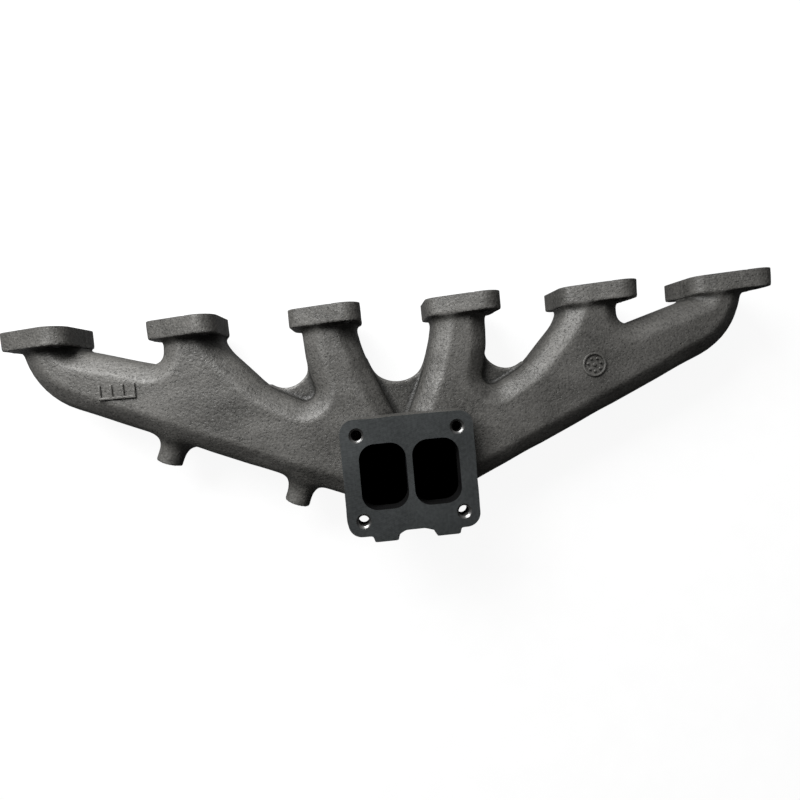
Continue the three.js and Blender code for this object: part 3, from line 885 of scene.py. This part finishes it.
def finish_mesh(mesh, field, part):
    """Sorts faces by finish, shades the skin by the field's slope, marks ridges for wear and
    hollows for painted shade.
    """
    order = [finishes.index(slot) if slot in finishes else SKIN for slot in mesh.materials]
    count = len(mesh.polygons)
    slots = np.zeros(count, np.int32)
    mesh.polygons.foreach_get("material_index", slots)
    slots = np.array(order, np.int32)[slots]
    centres, points = np.zeros(count * 3, np.float32), np.zeros(len(mesh.vertices) * 3, np.float32)
    mesh.polygons.foreach_get("center", centres)
    mesh.vertices.foreach_get("co", points)
    centres, points = centres.reshape(-1, 3), points.reshape(-1, 3).astype(float)
    slopes = np.gradient(field, GRID)
    slope = np.stack([sample(axis, part, points) for axis in slopes], 1)
    curve = sum(np.gradient(axis, GRID, axis=number) for number, axis in enumerate(slopes))
    bend = sample(curve, part, points)
    on_cast = np.abs(sample(field, part, centres.astype(float))) < ON_SKIN
    to_core = sample(gas_core(part), part, centres.astype(float))
    # Faces inside the passages get the near-black painted shade.
    slots[(slots == SKIN) & on_cast & (to_core < CORE_REACH)] = CORE
    mesh.materials.clear()
    for finish in finishes:
        mesh.materials.append(finish)
    mesh.polygons.foreach_set("material_index", slots)
    # Convex bend marks edge wear; concave bend marks where shade is painted.
    for label, values in (("rub", bend / RUB_BEND), ("hollow_shade", -bend / HOLLOW_SHADE_BEND)):
        layer = mesh.attributes.new(label, "FLOAT", "POINT")
        layer.data.foreach_set("value", np.clip(values, 0, 1).astype(np.float32))
    mesh.set_sharp_from_angle(angle=SHARP)
    mesh.polygons.foreach_set("use_smooth", np.ones(count, bool))
    mesh.update()
    normals = np.zeros(len(mesh.loops) * 3, np.float32)
    mesh.corner_normals.foreach_get("vector", normals)
    corner_points = np.zeros(len(mesh.loops), np.int32)
    mesh.loops.foreach_get("vertex_index", corner_points)
    totals = np.zeros(count, np.int32)
    mesh.polygons.foreach_get("loop_total", totals)
    cast_corner = np.repeat(on_cast & (slots <= CORE), totals)
    smooth = slope / np.maximum(np.linalg.norm(slope, axis=1), 1e-9)[:, None]
    normals = normals.reshape(-1, 3)
    agree = (normals * smooth[corner_points]).sum(1) > AGREEMENT
    use = cast_corner & agree
    normals[use] = smooth[corner_points][use]
    mesh.normals_split_custom_set(normals.tolist())


def cast_region(name, inside, outside, grow=0.005):
    """Makes one named region of the casting and puts it in its CAD node's place."""
    low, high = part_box(name)
    part = part_of_grid(low - Vector((grow,) * 3), high + Vector((grow,) * 3))
    field = casting(part)
    mesh = shape_mesh(name, field, grid_low + GRID * np.array([s.start for s in part]), GRID)
    mesh.materials.append(finishes[SKIN])
    made = bpy.data.objects.new(f"{name}_iron", mesh)
    bpy.context.scene.collection.objects.link(made)
    mesh = cut_mesh(made, inside, outside)
    finish_mesh(mesh, field, part)
    mesh.name = made.name
    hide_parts(name)
    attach(made, "root")
    return made


bpy.context.scene.collection.children.link(tool_box)
for number in range(6):
    inside, drills = [plate_side, head_mills[number]], head_drills[2 * number: 2 * number + 2]
    cast_region(f"port_flange_{number + 1}", inside, drills)
    side = -1 if number < 3 else 1
    inside = [half_sides[side], regions[number], tree_side]
    cast_region(f"runner_{number + 1}", inside, [plate_side, neck_shadow], 0.003)
for side, end in ((-1, "front"), (1, "rear")):
    own_runners = regions[:3] if side < 0 else regions[3:]
    inside, outside = [half_sides[side], tree_side], own_runners + [neck_shadow]
    cast_region(f"{end}_log", inside, outside + [collector_side], 0.003)
    cast_region(f"{end}_collector", inside + [collector_side], outside, 0.003)
inside = [divider_slice, tree_side]
cast_region("scroll_divider", inside, [plate_side, neck_shadow], 0.003)
cast_region("turbo_neck", [neck_shadow], [flange_side] + turbo_taps, 0.008)
cast_region("turbo_flange", [flange_side, turbo_mill], [stub_side] + turbo_taps)
for name in ("gate_stub_left", "gate_stub_right"):
    cast_region(name, [stub_side, turbo_mill, flange_side], [])
for name in web_plans:
    cast_region(name, [], [tree_side, neck_shadow, plate_side])
for name in ("boss_outer", "boss_inner"):
    cast_region(name, [], [tree_side, neck_shadow], 0.012)

for tool in list(tool_box.objects):
    bpy.data.objects.remove(tool)
bpy.data.collections.remove(tool_box)

# ==== Foundry marks ====
# A round date mark and a short tally stand up from the front face by less than a millimetre.
# They come from small plates pinned to the pattern, so their edges are soft.

MARK_GRID = 0.0003
MARK_ROOT = 0.0012
MARK_MARGIN = 0.001
MARK_LEAN, MARK_EDGE, MARK_RUB = 0.25, 0.0004, 0.35
RING_HALF, RING_INSET = 0.0008, 0.0009
PIPS, PIP_RADIUS, PIP_SPREAD, HUB_RADIUS = 7, 0.0009, 0.55, 0.0014
BARS, BAR_HALF = 4, 0.0010


def clock_face(x, y, low, high):
    """A ring with pips inside it."""
    centre, radius = (low + high) / 2, (high.x - low.x) / 2
    away = np.hypot(x - centre.x, y - centre.y)
    shape = np.abs(away - radius + RING_INSET) - RING_HALF
    for step in range(PIPS):
        turn = math.tau * (step + 0.25) / PIPS
        pip_x = centre.x + PIP_SPREAD * radius * math.cos(turn)
        pip_y = centre.y + PIP_SPREAD * radius * math.sin(turn)
        shape = np.minimum(shape, np.hypot(x - pip_x, y - pip_y) - PIP_RADIUS)
    return np.minimum(shape, away - HUB_RADIUS)


def tally_face(x, y, low, high):
    """Short bars on one rail."""
    middle, half = (low + high) / 2, (high - low) / 2
    across = np.abs(x - middle.x) - half.x
    shape = np.maximum(across, np.abs(y - low.y - BAR_HALF) - BAR_HALF)
    for step in range(BARS):
        bar = low.x + BAR_HALF + (high.x - low.x - 2 * BAR_HALF) * step / (BARS - 1)
        upright = np.maximum(np.abs(x - bar) - BAR_HALF, np.abs(y - middle.y) - half.y)
        shape = np.minimum(shape, upright)
    return shape


for name, face in (("date_clock", clock_face), ("tally_mark", tally_face)):
    low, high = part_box(name)
    first = np.array(low) - np.array((MARK_MARGIN, MARK_MARGIN, MARK_ROOT))
    counts = np.ceil((np.array(high) + MARK_MARGIN - first) / MARK_GRID).astype(int) + 1
    x, y, z = (first[axis] + MARK_GRID * np.arange(counts[axis]) for axis in range(3))
    x, y, z = x[:, None, None], y[None, :, None], z[None, None, :]
    flat = face(x, y, low, high) + (z - high.z) * MARK_LEAN
    field = slab(flat, np.maximum(z - high.z, low.z - MARK_ROOT / 2 - z), MARK_EDGE)
    mesh = shape_mesh(name, field, first, MARK_GRID)
    mesh.materials.append(finishes[SKIN])
    mesh.polygons.foreach_set("use_smooth", np.ones(len(mesh.polygons), bool))
    rub = np.full(len(mesh.vertices), MARK_RUB, np.float32)
    mesh.attributes.new("rub", "FLOAT", "POINT").data.foreach_set("value", rub)
    made = bpy.data.objects.new(f"{name}_iron", mesh)
    bpy.context.scene.collection.objects.link(made)
    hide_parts(name)
    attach(made, "root")

# ==== Floor, light and camera ====
# The part lies on its back on a pale sheet. A broad soft light hangs past the head side, towards
# the front end, and the rest of the studio falls off to a dim grey on the turbo side.

KEY_SIDE = (-0.30, 0.85, 0.42)
ROOM_DIM, ROOM_BRIGHT = 0.012, 0.48
SHEET_SEEN = 0.92
SHEET_HALF, SHEET_GAP = 4, 0.0003
SHEET_DARK, SHEET_LIGHT = (0.11, 0.11, 0.11, 1), (0.13, 0.13, 0.13, 1)
WHITE = (1, 1, 1, 1)

floor_mesh = bpy.data.meshes.new("floor")
floor_z = cad_box[0][2] - SHEET_GAP
sheet = [(x * SHEET_HALF, y * SHEET_HALF, floor_z) for x, y in ((-1, -1), (1, -1), (1, 1), (-1, 1))]
floor_mesh.from_pydata(sheet, [], [(0, 1, 2, 3)])
floor = bpy.data.objects.new("floor", floor_mesh)
bpy.context.scene.collection.objects.link(floor)
pale, pale_tree, pale_shader, pale_where = new_finish("pale_sheet", 0.0)
fibres = remap(pale_tree, noise(pale_tree, pale_where, 40.0, 3.0), 0.3, 0.7)
seen = pale_tree.nodes.new("ShaderNodeLightPath").outputs["Is Camera Ray"]
paper = blend_colours(pale_tree, fibres, SHEET_DARK, SHEET_LIGHT)
pale_tree.links.new(paper, pale_shader.inputs["Base Color"])
pale_shader.inputs["Roughness"].default_value = 0.9
plain = pale_shader.outputs[0]
glow = node(pale_tree, "ShaderNodeEmission", Color=WHITE, Strength=SHEET_SEEN).outputs[0]
both = node(pale_tree, "ShaderNodeAddShader", i0=plain, i1=glow).outputs[0]
mixed = node(pale_tree, "ShaderNodeMixShader", i0=seen, i1=plain, i2=both).outputs[0]
pale_tree.links.new(mixed, pale_tree.nodes["Material Output"].inputs["Surface"])
floor_mesh.materials.append(pale)

world = bpy.data.worlds.new("studio")
bpy.context.scene.world = world
world.use_nodes = True
sky = world.node_tree
direction = sky.nodes.new("ShaderNodeTexCoord").outputs["Generated"]
key_side = Vector(KEY_SIDE).normalized()
product = {"operation": "DOT_PRODUCT"}
towards = node(sky, "ShaderNodeVectorMath", product, i0=direction, i1=key_side).outputs["Value"]
room = sky.nodes["Background"]
strength = remap(sky, towards, 0.05, 0.95, ROOM_DIM, ROOM_BRIGHT)
sky.links.new(strength, room.inputs["Strength"])
room.inputs["Color"].default_value = WHITE
backdrop = node(sky, "ShaderNodeBackground", Color=WHITE, Strength=1.0).outputs[0]
looked_at = sky.nodes.new("ShaderNodeLightPath").outputs["Is Camera Ray"]
studio = node(sky, "ShaderNodeMixShader", i0=looked_at, i1=room.outputs[0], i2=backdrop)
sky.links.new(studio.outputs[0], sky.nodes["World Output"].inputs["Surface"])


def soft_light(name, place, target, size, power):
    lamp = bpy.data.lights.new(name, "AREA")
    lamp.shape, lamp.size, lamp.size_y, lamp.energy = "RECTANGLE", size[0], size[1], power
    made = bpy.data.objects.new(name, lamp)
    made.location = place
    made.rotation_euler = (Vector(target) - Vector(place)).to_track_quat("-Z", "Y").to_euler()
    bpy.context.scene.collection.objects.link(made)


soft_light("key", (-0.36, 0.58, 0.46), (-0.05, 0.04, -0.05), (0.60, 0.40), 11.5)

LENS, SENSOR = 25.2, 36
CAMERA_PLACE = (-0.0280, 0.0765, 0.4524)
CAMERA_FORWARD, CAMERA_UP = (0.0546, -0.0351, -0.9979), (0.0916, 0.9953, -0.0300)
lens = bpy.data.cameras.new("camera")
lens.lens, lens.sensor_width = LENS, SENSOR
camera = bpy.data.objects.new("camera", lens)
forward = Vector(CAMERA_FORWARD).normalized()
right = forward.cross(Vector(CAMERA_UP)).normalized()
turn = Matrix((right, right.cross(forward), -forward)).transposed()
camera.matrix_world = Matrix.Translation(CAMERA_PLACE) @ turn.to_4x4()
bpy.context.scene.collection.objects.link(camera)
bpy.context.scene.camera = camera

bpy.context.scene.view_settings.view_transform = "Standard"
